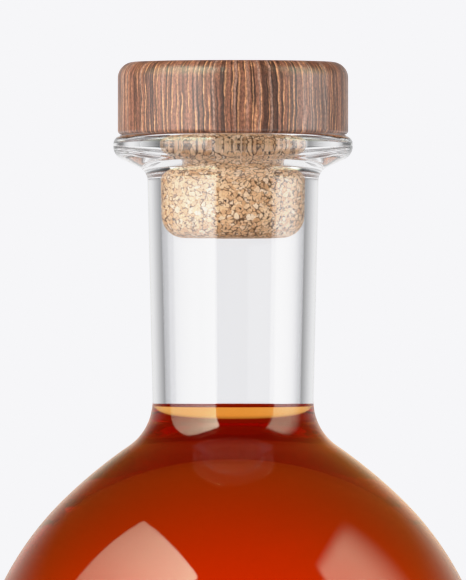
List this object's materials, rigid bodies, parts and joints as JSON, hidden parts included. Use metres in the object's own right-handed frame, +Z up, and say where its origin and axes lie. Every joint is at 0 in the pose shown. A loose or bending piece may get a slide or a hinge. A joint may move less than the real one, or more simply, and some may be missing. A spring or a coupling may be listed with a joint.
{
  "type": "aftershave bottle",
  "caption": "Round clear-glass flask with a long flanged neck, amber filling and a pull-out stopper: a turned wooden head on a cork shank.",
  "frame": {"origin": "centre of the base, in the plane of the ring that the bottle stands on", "axes": "+Z up along the axis of the flask, neck and stopper; the shape is the same all round, so +X and +Y are any two level directions"},
  "size_m": [0.0684, 0.0684, 0.1083],
  "materials": {
    "clear_glass": "clear flint glass, fire-polished",
    "amber_liquid": "clear amber-red liquid",
    "turned_wood": "turned, dark streaked grain, satin lacquer",
    "agglomerated_cork": "moulded from fine cork granules, matt",
    "wood_glue": "dried glue film, hidden"
  },
  "bodies": {
    "bottle": {"glass_bottle": "clear_glass", "aftershave_liquid": "amber_liquid"},
    "stopper": {"wood_cap": "turned_wood", "cork_shank": "agglomerated_cork", "glue_film": "wood_glue"}
  },
  "joints": [
    {"name": "stopper_lift", "type": "slide", "parent": "bottle", "child": "stopper", "axis": [0, 0, 1], "range_m": [0, 0.03]}
  ]
}
